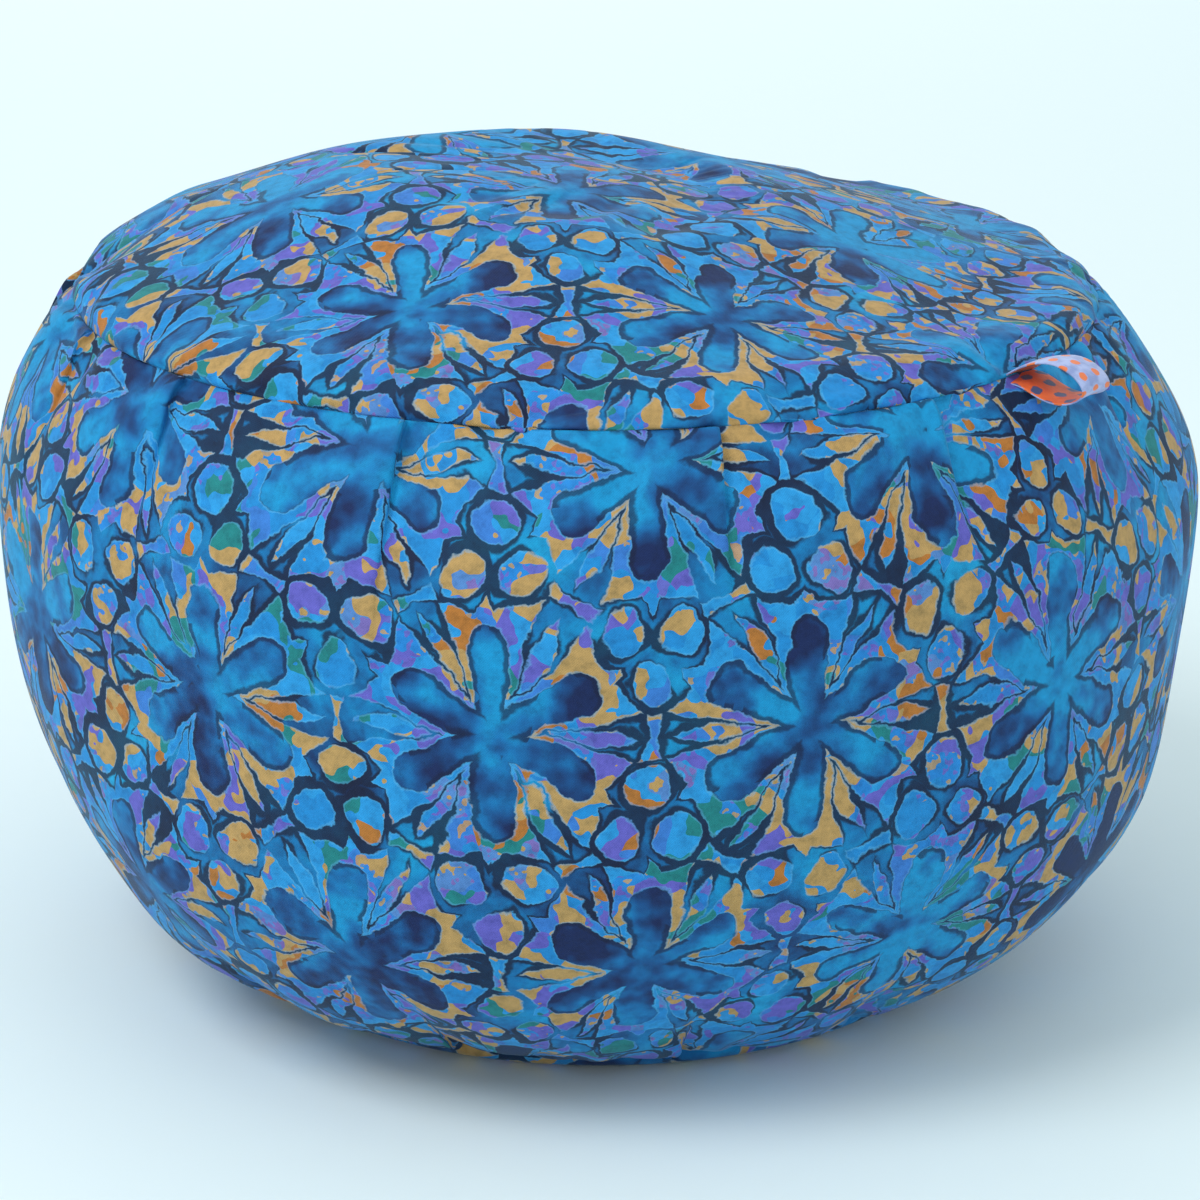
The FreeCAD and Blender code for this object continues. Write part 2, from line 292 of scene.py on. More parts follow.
def batik_cotton():
    """Dyed cotton: matt and a little dusty, with a faint bloom of fibre ends and a fine square weave close up."""
    cloth = bpy.data.materials.new("batik_cotton")
    cloth.use_nodes = True
    tree = cloth.node_tree
    shader = tree.nodes["Principled BSDF"]
    flat_cut = add(tree, "UVMap", uv_map="cut")
    place = add(tree, "VectorMath.SCALE", {0: flat_cut, "Scale": 1 / print_pitch})
    # hand-cut block: slow drift, wavering and ragged edges
    spot = place
    for scale, detail, rough, far in ((1.7, 1.0, 0.5, 0.11), (5.5, 1.0, 0.5, 0.085), (17.0, 3.0, 0.6, 0.044)):
        shaken = add(tree, "TexNoise", {"Vector": place, "Scale": scale, "Detail": detail, "Roughness": rough})
        centred = add(tree, "VectorMath.SUBTRACT", shaken.outputs["Color"], (0.5, 0.5, 0.5))
        spot = add(tree, "VectorMath.MULTIPLY_ADD", centred, (far, far, 0.0), spot)
    spot = add(tree, "VectorMath.MULTIPLY", spot, (1.0, 1.0, 0.0))
    # offset from the nearest flower, on a lattice of triangles
    half = (0.5, math.sqrt(3) / 2, 1.0)
    less = tuple(-h for h in half)
    one = add(tree, "VectorMath.WRAP", spot, half, less)
    other = add(tree, "VectorMath.SUBTRACT", spot, (half[0], half[1], 0.0))
    other = add(tree, "VectorMath.WRAP", other, half, less)
    nearer = add(tree, "Math.LESS_THAN", add(tree, "VectorMath.LENGTH", other), add(tree, "VectorMath.LENGTH", one))
    offset = add(tree, "Mix", {0: nearer, 4: one, 5: other}, data_type="VECTOR")
    # folded into one twelfth of a turn, then measured along and beside the line between two flowers
    parts = add(tree, "SeparateXYZ", offset)
    reach = add(tree, "VectorMath.LENGTH", offset)
    turn = add(tree, "Math.PINGPONG", add(tree, "Math.ARCTAN2", parts.outputs[1], parts.outputs[0]), math.pi / 6)
    along = add(tree, "Math.MULTIPLY", reach, add(tree, "Math.COSINE", turn))
    beside = add(tree, "Math.MULTIPLY", reach, add(tree, "Math.SINE", turn))
    # and up the middle of a petal, which lies 30 degrees round from there
    c30, s30 = math.cos(math.pi / 6), 0.5
    up_petal = add(tree, "Math.MULTIPLY_ADD", along, c30, add(tree, "Math.MULTIPLY", beside, s30))
    off_petal = add(tree, "Math.MULTIPLY_ADD", beside, -c30, add(tree, "Math.MULTIPLY", along, s30))

    # each shape as a distance: below zero inside it
    petal_end = 0.29
    past_end = add(tree, "Math.MAXIMUM", add(tree, "Math.SUBTRACT", up_petal, petal_end), 0.0)
    petal_width = add(tree, "Math.MULTIPLY_ADD", add(tree, "Math.MINIMUM", up_petal, petal_end), 0.105, 0.044)
    from_petal = add(tree, "VectorMath.LENGTH", add(tree, "CombineXYZ", past_end, off_petal))
    petal = add(tree, "Math.SUBTRACT", from_petal, petal_width)
    # a horseshoe round the petal, with its rim drawn down at the tip
    rim = add(tree, "Math.MULTIPLY_ADD", off_petal, 0.25, 0.395)
    tip = add(tree, "Math.MAXIMUM", add(tree, "Math.MULTIPLY_ADD", off_petal, -1.8, 0.06), 0.0)
    rim = add(tree, "Math.ADD", rim, tip)
    arm = add(tree, "Math.SUBTRACT", off_petal, add(tree, "Math.MULTIPLY_ADD", up_petal, 0.285, 0.035))
    field = add(tree, "Math.MAXIMUM", arm, add(tree, "Math.SUBTRACT", up_petal, rim))
    horseshoe = add(tree, "Math.MAXIMUM", field, add(tree, "Math.MULTIPLY", petal, -1.0))
    # a slim leaf between two petals
    leaf_middle, leaf_half, leaf_width = 0.312, 0.135, 0.027
    span = add(tree, "Math.DIVIDE", add(tree, "Math.SUBTRACT", along, leaf_middle), leaf_half)
    span = add(tree, "Math.MULTIPLY", span, span)
    leaf = add(tree, "Math.SUBTRACT", beside, add(tree, "Math.MULTIPLY_ADD", span, -leaf_width, leaf_width))
    # a bow halfway to the next flower, and a pebble on each side of it
    past_half = add(tree, "Math.SUBTRACT", along, 0.5)
    bow = add(tree, "Math.SUBTRACT", add(tree, "Math.ABSOLUTE", past_half),
              add(tree, "Math.MULTIPLY_ADD", beside, 0.22, 0.010))
    bow = add(tree, "Math.MAXIMUM", bow, add(tree, "Math.SUBTRACT", beside, 0.078))
    pebble = add(tree, "CombineXYZ", past_half, add(tree, "Math.SUBTRACT", beside, 0.176))
    pebble = add(tree, "Math.SUBTRACT", add(tree, "VectorMath.LENGTH", pebble), 0.074)
    shape = horseshoe
    for other in (leaf, bow, pebble):
        shape = add(tree, "Math.MINIMUM", shape, other)

    # dye: clouds in the ground and in the petals
    clouds = []
    for shift, scale, detail, rough, stirred in (
            ((7.0, 3.0, 1.0), 2.3, 4.0, 0.62, 0.4), ((2.0, 9.0, 5.0), 2.9, 3.0, 0.6, 0.0),
            ((3.3, 6.1, 2.0), 0.55, 0.0, 0.5, 0.0), ((4.0, 1.0, 8.0), 3.7, 2.0, 0.5, 0.0)):
        at = add(tree, "VectorMath.ADD", place, shift)
        clouds.append(add(tree, "TexNoise", {"Vector": at, "Scale": scale, "Detail": detail, "Roughness": rough,
                                             "Distortion": stirred}))
    cloud, deep, tide, worn_line = clouds
    ground = add(tree, "ValToRGB", cloud, stops=[(0.33, "#0f2f62"), (0.41, "#0f5790"), (0.49, "#0b7ab8"),
                                                 (0.57, "#0a92cc"), (0.68, "#14a8dc")])
    tide = add(tree, "Math.MULTIPLY", add(tree, "Math.SUBTRACT", tide, 0.52), 0.55)
    deep = add(tree, "Math.ADD", deep, tide)
    petals = add(tree, "ValToRGB", deep, stops=[(0.37, "#10275a"), (0.44, "#10508c"), (0.50, "#0f74b4"),
                                                (0.58, "#0d98d2")])
    # hard patches in the shapes, some of them broken into flecks
    shaken = add(tree, "TexNoise", {"Vector": place, "Scale": 6.5, "Detail": 2.0})
    patchy = add(tree, "VectorMath.MULTIPLY_ADD", shaken.outputs["Color"], (0.42, 0.42, 0.0), place)
    patch = add(tree, "TexVoronoi", {"Vector": patchy, "Scale": 10.5, "Randomness": 1.0}, voronoi_dimensions="2D")
    pick = add(tree, "SeparateColor", patch.outputs["Color"])
    fill = add(tree, "ValToRGB", pick.outputs[0], stops=[
        (0.0, "#1c8ed6"), (0.24, "#279ce0"), (0.40, "#6864c6"), (0.54, "#3a80d4"), (0.61, "#c39c60"),
        (0.87, "#bd7834"), (0.92, "#1b8486")])
    flecks = add(tree, "TexNoise", {"Vector": place, "Scale": 13.0, "Detail": 2.0, "Roughness": 0.7})
    flecks = add(tree, "ValToRGB", flecks, stops=[(0.0, "#6f66c6"), (0.45, "#2388da"), (0.60, "#c39c60")])
    fill.color_ramp.interpolation = flecks.color_ramp.interpolation = "CONSTANT"
    flecked = add(tree, "Math.MULTIPLY", add(tree, "Math.GREATER_THAN", pick.outputs[1], 0.84), 0.85)
    fill = add(tree, "Mix", {0: flecked, 6: fill, 7: flecks}, data_type="RGBA")
    # dark wax cracks hug the shapes, and a pale line runs round every edge
    crack_width = add(tree, "Math.MULTIPLY_ADD", add(tree, "Math.SUBTRACT", worn_line, 0.47), 0.17, 0.012)
    crack = add(tree, "Math.SUBTRACT", add(tree, "Math.MINIMUM", shape, petal), crack_width)
    petal_line = add(tree, "Math.ABSOLUTE", add(tree, "Math.ADD", petal, 0.008))
    edge_line = add(tree, "Math.ABSOLUTE", add(tree, "Math.ADD", shape, 0.002))
    dark_here = add(tree, "Math.MULTIPLY", add(tree, "Math.GREATER_THAN", worn_line, 0.47), 0.75)
    # watery unevenness over everything
    wash = add(tree, "TexNoise", {"Vector": place, "Scale": 21.0, "Detail": 4.0, "Roughness": 0.7})
    wash = add(tree, "ValToRGB", wash, stops=[(0.30, "#b4bcc4"), (0.50, "#e6e8ea"), (0.72, "#ffffff")])
    # baths in the order they go on: the colour, where it lies, its fading edge and its strength
    colour = ground
    for over, where, inner, outer, strength in (
            (paint("#0c1836"), crack, -0.004, 0.008, 0.88), (petals, petal, -0.006, 0.002, None),
            (paint("#0d1c42"), petal_line, 0.004, 0.016, dark_here), (fill, shape, -0.003, 0.002, None),
            (paint("#62b8e6"), edge_line, 0.001, 0.005, 0.38)):
        amount = add(tree, "MapRange", where, inner, outer, 1.0, 0.0, interpolation_type="SMOOTHSTEP")
        if strength is not None:
            amount = add(tree, "Math.MULTIPLY", amount, strength)
        colour = add(tree, "Mix", {0: amount, 6: colour, 7: over}, data_type="RGBA")
    colour = add(tree, "Mix", {0: 0.85, 6: colour, 7: wash}, data_type="RGBA", blend_type="MULTIPLY")
    tree.links.new(colour.outputs[2], shader.inputs["Base Color"])

    # threads over and under, a little uneven in thickness
    threads = add(tree, "VectorMath.SCALE", {0: flat_cut, "Scale": 2 * math.pi / thread_pitch})
    split = add(tree, "SeparateXYZ", threads)
    warp, weft = (add(tree, "Math.SINE", split.outputs[k]) for k in (0, 1))
    weave = add(tree, "Math.MULTIPLY", warp, weft)
    slub = add(tree, "TexNoise", {"Vector": place, "Scale": 60.0, "Detail": 2.0})
    height = add(tree, "Math.MULTIPLY_ADD", weave, 0.5, add(tree, "Math.MULTIPLY", slub, 1.2))
    bump = add(tree, "Bump", {"Strength": 0.35, "Distance": 0.00022, "Height": height})
    tree.links.new(bump.outputs[0], shader.inputs["Normal"])
    for socket, value in (("Roughness", 0.70), ("Specular IOR Level", 0.27), ("Sheen Weight", 0.20),
                          ("Sheen Roughness", 0.30), ("Sheen Tint", paint("#b4e2f8"))):
        shader.inputs[socket].default_value = value
    return cloth


cotton_cloth = batik_cotton()

# ---- The cover's five pieces --------------------------------------------------------------
# Top panel, side band in a long front piece and two rear pieces with the zip between them, and
# base panel. Each keeps the place of the print on its own cut, and is one cloth thick.
cloth_gauge = 0.0008
# the hem along the zip, folded in: how far past the edge and how deep behind it each fold lies
hem_folds = ((0.0005, 0.0008), (0, 0.0017), (-0.004, 0.0018), (-0.008, 0.0018))
# where one flower falls on the top panel, on the band and on the base panel
top_flower, band_flower, base_flower = (-0.010, -0.036), (0.017, -0.012), (0.020, 0.031)


def on_cut(which, used, behind=False):
    """Flat places of the grid's points on the cut of a panel."""
    theta = angle[used] if behind else (angle[used] + math.pi) % (2 * math.pi) - math.pi
    if which != "side":
        flower = top_flower if which == "top" else base_flower
        return np.stack([run[:, None] * np.sin(theta) - flower[0], -run[:, None] * np.cos(theta) - flower[1]], -1)
    # each tuck swallows a strip of the print near the seam, and lets it out lower down
    middle = (marks[sector[used]] + marks[sector[used] + 1]) / 2
    middle -= 2 * math.pi * np.round((middle - theta) / (2 * math.pi))
    swallowed = np.clip(1 - from_top_seam / 0.05, 0, 1) + np.clip(1 - from_base_seam / 0.04, 0, 1)
    u = waist_r * (theta + swallowed * (middle - theta) * (1 - np.minimum(row_r / waist_r, 1))[:, None])
    return np.stack([u - band_flower[0], -run[:, None] * np.ones_like(theta) - band_flower[1]], -1)


def outward(grid, closed=False):
    """Unit normals of a grid of points."""
    wide = np.concatenate([grid[:, -1:], grid, grid[:, :1]], 1) if closed else grid
    normal = np.cross(np.gradient(wide, axis=0), np.gradient(wide, axis=1))
    normal /= np.linalg.norm(normal, axis=2, keepdims=True)
    return normal[:, 1:-1] if closed else normal


def cover_piece(name, which, first, last, used=None, poles=(), hem=0, behind=False):
    """One panel of the cover. A hem of +1 turns its lower edge in along the zip, and -1 its upper edge."""
    closed = used is None
    used = np.arange(len(columns)) if closed else used
    place = on_cut(which, used, behind)
    if which == "side":
        place[top_seam] = place[top_seam + 1] + (0, 0.0015)
    if which == "base":
        place[base_seam] = place[base_seam + 1] * 1.02
    place, grid = place[first:last + 1], cover[first:last + 1][:, used]
    if hem:
        edge, beside = (-1, -2) if hem > 0 else (0, 1)
        away = grid[edge] - grid[beside]
        away /= np.linalg.norm(away, axis=1, keepdims=True)
        out = outward(grid)[edge]
        turned_in = [grid[edge] + away * on - out * deep for on, deep in hem_folds]
        printed = [place[edge] - (0, hem * on) for on in (0.001, 0.002, 0.006, 0.010)]
        grid = np.concatenate([grid, turned_in] if hem > 0 else [turned_in[::-1], grid])
        place = np.concatenate([place, printed] if hem > 0 else [printed[::-1], place])
    piece = cloth_mesh(name, grid, place, closed, poles)
    smooth = piece.modifiers.new("smooth", "SUBSURF")
    smooth.levels = smooth.render_levels = 1
    smooth.boundary_smooth, smooth.use_limit_surface = "PRESERVE_CORNERS", False
    thick = piece.modifiers.new("thick", "SOLIDIFY")
    thick.thickness, thick.offset = cloth_gauge, -1
    piece.data.materials.append(cotton_cloth)
    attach(piece, "cushion")
    return piece


up_row = int(np.argmin(np.abs(run - zip_up) + (panel != "side")))
down_row = int(np.argmin(np.abs(run - zip_down) + (panel != "side")))
left_join, right_join = (int(np.argmin(np.abs(turned - j))) for j in side_joins[::-1])
front = np.array([*range(left_join, len(columns)), *range(right_join + 1)])
rear = np.arange(right_join, left_join + 1)
last = len(rows) - 1
crown = (cover[0].mean(0), (-top_flower[0], -top_flower[1]), 0)
foot = (cover[-1].mean(0), (-base_flower[0], -base_flower[1]), last - base_seam)
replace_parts(cover_piece("top_panel", "top", 0, top_seam, poles=[crown]), "cover_top_panel")
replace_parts(cover_piece("side_band_front", "side", top_seam, base_seam, front), "cover_side_band_front")
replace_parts(cover_piece("side_band_rear_upper", "side", top_seam, up_row, rear, hem=1, behind=True),
            "cover_side_band_rear_upper")
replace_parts(cover_piece("side_band_rear_lower", "side", down_row, base_seam, rear, hem=-1, behind=True),
            "cover_side_band_rear_lower")
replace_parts(cover_piece("base_panel", "base", base_seam, last, poles=[foot]), "cover_base_panel")

# ---- Seam allowances ----------------------------------------------------------------------
# The raw edges that the two round seams leave inside: both cloths together, turned against the
# band and overlocked. They show only when the cover is opened.
plain = np.array([j for j, c in enumerate(columns) if c[1] is None])
inside = cover[:, plain] - 0.0034 * outward(cover[:, plain], True)
for name, strip in (("top_seam_allowance", inside[top_seam + 2:top_seam + 6]),
                    ("base_seam_allowance", inside[base_seam - 4:base_seam])):
    place = np.stack(np.meshgrid(plain * 0.006, np.arange(len(strip)) * 0.002), -1)
    edge = cloth_mesh(name + "_strip", strip, place, True)
    thick = edge.modifiers.new("two_cloths", "SOLIDIFY")
    thick.thickness, thick.offset = 2 * cloth_gauge, -1
    edge.data.materials.append(cotton_cloth)
    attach(edge, "cushion")
    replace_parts(edge, name)

# ---- Ribbon loop --------------------------------------------------------------------------
# A loop of woven ribbon, 15 mm wide, folded over on itself and caught in the top seam. It has
# orange dots on a pale ground outside, and slate dots on orange inside.
loop_bearing = math.radians(321.5)
ribbon_width = 0.0147
# outwards and up from the seam, in mm, along the ribbon
fold = [(-4, -2.55), (-1, 0.17), (6.08, 3.91), (13.68, 5.355), (21.28, 2.72), (26.296, -2.72), (18.544, -7.14),
        (9.652, -6.8), (2.28, -2.89), (-4, -3.23)]
outwards = np.array([math.cos(loop_bearing), math.sin(loop_bearing), 0])
across = np.array([-outwards[1], outwards[0], 0])
path = np.array([outwards * (top_r - 0.0045 + h / 1000) + (0, 0, top_z + v / 1000) for h, v in fold])
travelled = np.concatenate([[0], np.cumsum(np.linalg.norm(np.diff(path, axis=0), axis=1))])
sides = np.linspace(-0.5, 0.5, 5) * ribbon_width
# it twists a little, and its long edges curl in
twist = np.linspace(-1, 1, len(path))[:, None] * 0.0006 * sides[None] / 0.007
grid = path[:, None] + sides[None, :, None] * across
grid[..., 2] += twist - 14 * sides[None] ** 2
ribbon = cloth_mesh("ribbon_loop", grid, np.stack(np.meshgrid(sides, travelled), -1))
smooth = ribbon.modifiers.new("smooth", "SUBSURF")
smooth.levels = smooth.render_levels = 2
thick = ribbon.modifiers.new("thick", "SOLIDIFY")
thick.thickness, thick.offset, thick.material_offset = 0.0005, 0, 1


def ribbon_cloth(name, ground, shade, dots, radius, spacing, ragged):
    """Woven polyester ribbon: smoother than the cotton, with a soft sheen and dots in staggered rows."""
    made = bpy.data.materials.new(name)
    made.use_nodes = True
    tree = made.node_tree
    shader = tree.nodes["Principled BSDF"]
    cut = add(tree, "UVMap", uv_map="cut")
    shaken = add(tree, "TexNoise", {"Vector": cut, "Scale": 420.0, "Detail": 1.0}).outputs["Color"]
    shaken = add(tree, "VectorMath.MULTIPLY_ADD", shaken, (ragged, ragged, 0), cut)
    half = (spacing / 2, spacing * 0.87, 1.0)
    less = tuple(-h for h in half)
    lengths = []
    for shift in ((0, 0, 0), (half[0], half[1], 0)):
        moved = add(tree, "VectorMath.ADD", shaken, shift)
        lengths.append(add(tree, "VectorMath.LENGTH", add(tree, "VectorMath.WRAP", moved, half, less)))
    dot = add(tree, "MapRange", add(tree, "Math.MINIMUM", *lengths), radius * 0.88, radius * 1.05, 1.0, 0.0)
    worn = add(tree, "TexNoise", {"Vector": cut, "Scale": 180.0, "Detail": 3.0})
    worn = add(tree, "ValToRGB", worn, stops=[(0.38, shade), (0.58, ground)])
    colour = add(tree, "Mix", {0: dot, 6: worn, 7: paint(dots)}, data_type="RGBA")
    tree.links.new(colour.outputs[2], shader.inputs["Base Color"])
    # warp and weft, drawn at 0.6 mm, coarser than a usual ribbon's, so that it shows
    weave = add(tree, "TexWave", {"Vector": cut, "Scale": 2 * math.pi / 20 / 0.0006}, bands_direction="Y")
    bump = add(tree, "Bump", {"Strength": 0.4, "Distance": 0.0001, "Height": weave.outputs["Fac"]})
    tree.links.new(bump.outputs[0], shader.inputs["Normal"])
    shader.inputs["Roughness"].default_value = 0.55
    shader.inputs["Sheen Weight"].default_value = 0.2
    return made


ribbon.data.materials.append(ribbon_cloth("ribbon_outside", "#a9b6e2", "#8494c8", "#e8753c", 0.0016, 0.0068, 0.0010))
ribbon.data.materials.append(ribbon_cloth("ribbon_inside", "#ea6a2a", "#d9551c", "#3a4f80", 0.0020, 0.0074, 0.0022))
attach(ribbon, "cushion")
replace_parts(ribbon, "label_loop")

# ---- Zip ----------------------------------------------------------------------------------
# A nylon coil zip of 0.5 m lies in the rear of the band: two woven tapes sewn behind the turned-in
# edges, a coil of teeth on each, metal end stops, and a slider with a flat pull.
zip_r = float(side_radius(zip_z))
zip_ends = (13.0, 167.0)


def beside_zip(bearing, out, up):
    """A point beside the zip, at degrees round from +X, outwards and up along the cloth, in metres."""
    b = np.radians(np.asarray(bearing, float))
    r = zip_r + out * math.cos(zip_lean) + up * math.sin(zip_lean)
    z = zip_z - out * math.sin(zip_lean) + up * math.cos(zip_lean) + 0 * b
    return np.stack([r * np.cos(b), r * np.sin(b), z], -1)


def repeat_along(name, points, out, unit, spacing, uneven, material):
    """Units set at even steps along a line, their X along it and their Z outwards, as one plain mesh."""
    line = bpy.data.meshes.new(name)
    line.from_pydata(np.asarray(points).tolist(), [(i, i + 1) for i in range(len(points) - 1)], [])
    away = line.attributes.new("out", "FLOAT_VECTOR", "POINT")
    away.data.foreach_set("vector", np.asarray(out, np.float32).reshape(-1))
    made = bpy.data.objects.new(name, line)
    bpy.context.scene.collection.objects.link(made)
    tree = bpy.data.node_groups.new(name, "GeometryNodeTree")
    face = tree.interface
    kinds = {"Line": "Geometry", "Unit": "Object", "Spacing": "Float", "Uneven": "Float", "Seed": "Int",
             "Material": "Material"}
    keys = {label: face.new_socket(name=label, in_out="INPUT", socket_type="NodeSocket" + kind).identifier
            for label, kind in kinds.items()}
    face.new_socket(name="Pieces", in_out="OUTPUT", socket_type="NodeSocketGeometry")
    given = add(tree, "NodeGroupInput").outputs
    curve = add(tree, "GeometryNodeMeshToCurve", {"Mesh": given["Line"]})
    spaced = add(tree, "GeometryNodeResampleCurve", {"Curve": curve, "Length": given["Spacing"]}, mode="LENGTH")
    away = add(tree, "GeometryNodeInputNamedAttribute", {"Name": "out"}, data_type="FLOAT_VECTOR").outputs["Attribute"]
    forward = add(tree, "GeometryNodeInputTangent")
    stood = add(tree, "FunctionNodeAlignRotationToVector", {"Vector": away}, axis="Z")
    faced = add(tree, "FunctionNodeAlignRotationToVector", {"Rotation": stood, "Vector": forward},
                axis="X", pivot_axis="Z")
    low = add(tree, "Math.SUBTRACT", 1.0, given["Uneven"])
    high = add(tree, "Math.ADD", 1.0, given["Uneven"])
    scale = add(tree, "FunctionNodeRandomValue", {"Min": low, "Max": high, "Seed": given["Seed"]}, data_type="FLOAT")
    piece = add(tree, "GeometryNodeObjectInfo", {"Object": given["Unit"]}).outputs["Geometry"]
    set_out = add(tree, "GeometryNodeInstanceOnPoints", {"Points": spaced, "Instance": piece, "Rotation": faced,
                                                         "Scale": scale})
    plain_mesh = add(tree, "GeometryNodeRealizeInstances", {"Geometry": set_out})
    finished = add(tree, "GeometryNodeSetMaterial", {"Geometry": plain_mesh, "Material": given["Material"]})
    add(tree, "NodeGroupOutput", {"Pieces": finished})
    repeat = made.modifiers.new("repeat", "NODES")
    repeat.node_group = tree
    for label, value in {"Unit": unit, "Spacing": spacing, "Uneven": uneven, "Seed": 4, "Material": material}.items():
        repeat[keys[label]] = value
    bpy.context.view_layer.update()
    mesh = bpy.data.meshes.new_from_object(made.evaluated_get(bpy.context.evaluated_depsgraph_get()))
    made.modifiers.remove(repeat)
    made.data = mesh
    bpy.data.meshes.remove(line)
    mesh.polygons.foreach_set("use_smooth", [True] * len(mesh.polygons))
    mesh.materials.clear()
    mesh.materials.append(material)
    return made


def strand(name, path, radius):
    """A round strand along a few points, as a mesh that isn't in the scene."""
    curve = bpy.data.curves.new(name, "CURVE")
    curve.dimensions, curve.resolution_u, curve.use_fill_caps = "3D", 2, True
    curve.bevel_depth, curve.bevel_resolution = radius, 0
    spline = curve.splines.new("NURBS")
    spline.points.add(len(path) - 1)
    for point, at in zip(spline.points, path):
        point.co = (*at, 1)
    spline.order_u = 3
    spline.use_endpoint_u = True
    made = bpy.data.objects.new(name, curve)
    bpy.context.scene.collection.objects.link(made)
    mesh = bpy.data.meshes.new_from_object(made.evaluated_get(bpy.context.evaluated_depsgraph_get()))
    bpy.data.objects.remove(made)
    return bpy.data.objects.new(name, mesh)


def plain_material(name, colour, roughness, metallic=0.0, bump=None, coat=0.0, mottle=None):
    """A procedural finish: a colour with slight unevenness, and a fine bump of (pitch, depth, wave or noise)."""
    made = bpy.data.materials.new(name)
    made.use_nodes = True
    tree = made.node_tree
    shader = tree.nodes["Principled BSDF"]
    at = add(tree, "TexCoord").outputs["Object"]
    cloud = add(tree, "TexNoise", {"Vector": at, "Scale": 90.0, "Detail": 3.0})
    if mottle:
        patches = add(tree, "ValToRGB", cloud, stops=[(0.35, colour), (0.65, mottle)])
        tree.links.new(patches.outputs[0], shader.inputs["Base Color"])
    else:
        shader.inputs["Base Color"].default_value = paint(colour)
    spread = add(tree, "MapRange", cloud, 0.3, 0.7, roughness * 0.9, min(roughness * 1.15, 1))
    tree.links.new(spread.outputs[0], shader.inputs["Roughness"])
    if bump:
        pitch, depth, kind = bump
        if kind == "wave":
            height = add(tree, "TexWave", {"Vector": at, "Scale": 2 * math.pi / 20 / pitch, "Distortion": 0.3},
                         bands_direction="Z")
        else:
            height = add(tree, "TexNoise", {"Vector": at, "Scale": 1 / pitch, "Detail": 4.0})
        bumps = add(tree, "Bump", {"Strength": 0.5, "Distance": depth, "Height": height.outputs["Fac"]})
        tree.links.new(bumps.outputs[0], shader.inputs["Normal"])
    shader.inputs["Metallic"].default_value = metallic
    shader.inputs["Coat Weight"].default_value = coat
    return made


def finish_nodes(material, *names):
    """CAD nodes whose shape is right take a better material."""
    for name in names:
        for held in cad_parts[name].material_slots:
            held.material = material


# woven polyester tape: dull, dark navy, with fine ribs along it
tape = plain_material("woven_tape", "#14234a", 0.85, bump=(0.0007, 0.00012, "wave"), mottle="#1b2f5e")
finish_nodes(tape, "zip_tape_upper", "zip_tape_lower")
# stamped aluminium: bright grey with a soft, slightly scuffed shine
stops = plain_material("cast_metal", "#a9abb0", 0.34, 1.0, bump=(0.0012, 0.00002, "noise"), mottle="#bcbec2")
finish_nodes(stops, "zip_stop_closed_end", "zip_stop_open_end")
# die-cast zinc under navy enamel: smooth, with a thin glossy coat
enamel = plain_material("painted_metal", "#16264f", 0.36, bump=(0.0016, 0.00003, "noise"), coat=0.35, mottle="#1a2c5a")
finish_nodes(enamel, "zip_slider", "zip_pull")

# each coil is one nylon strand bent into loops; its heads reach just past the middle of the zip
# drawn nylon, dyed to match the tapes: half glossy
nylon = plain_material("coil_nylon", "#15264e", 0.42, mottle="#1c3264")
tooth_pitch = 0.0015
bearings = np.linspace(zip_ends[0] + 0.4, zip_ends[1] - 0.4, 160)
around = np.radians(bearings)
out_there = np.stack([np.cos(around) * math.cos(zip_lean), np.sin(around) * math.cos(zip_lean),
                      np.full(len(around), -math.sin(zip_lean))], -1)
# the legs and head of a loop, across and outwards from the line that the teeth follow
tooth_bend = ((-0.0033, -0.0009), (-0.0008, -0.0009), (0.0005, -0.0007), (0.0006, 0.0), (0.0005, 0.0006),
              (-0.0008, 0.0008), (-0.0033, 0.0008))
for side, sign in (("upper", 1), ("lower", -1)):
    loop = strand("tooth", [(0.0002, -sign * y, z) for y, z in tooth_bend], 0.00034)
    start = bearings + (math.degrees(tooth_pitch / 2 / zip_r) if sign > 0 else 0)
    line = beside_zip(start, -0.0015, 0.0)
    teeth = repeat_along("zip_teeth_" + side, line, out_there, loop, tooth_pitch, 0.0, nylon)
    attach(teeth, "cushion")
    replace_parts(teeth, "zip_coil_" + side)

# a row of topstitching holds each turned-in edge to its tape, in spun polyester thread: matt and a shade lighter
stitch_pitch, from_edge = 0.0032, 0.0030
thread = plain_material("sewing_thread", "#2c5c9c", 0.7, mottle="#3a70b4")
stitch = strand("stitch", [(-0.0012, 0, -0.0004), (-0.0008, 0, 0.00004), (0, 0, 0.00012), (0.0008, 0, 0.00004),
                           (0.0012, 0, -0.0004)], 0.00026)
for side, row, way in (("upper", up_row, -1), ("lower", down_row, 1)):
    down = cover[row + 1, rear] - cover[row - 1, rear]
    line = cover[row, rear] + way * from_edge * down / np.linalg.norm(down, axis=1, keepdims=True)
    away = outward(cover[:, rear])[row]
    stitches = repeat_along("zip_topstitch_" + side, line[2:-2], away[2:-2], stitch, stitch_pitch, 0.05, thread)
    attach(stitches, "cushion")

# ---- Inner bag ----------------------------------------------------------------------------
# A plain unbleached bag of thin cotton, sewn like the cover but smaller, that holds the filling.
# It is closed by hand at the bottom and comes out through the zip.


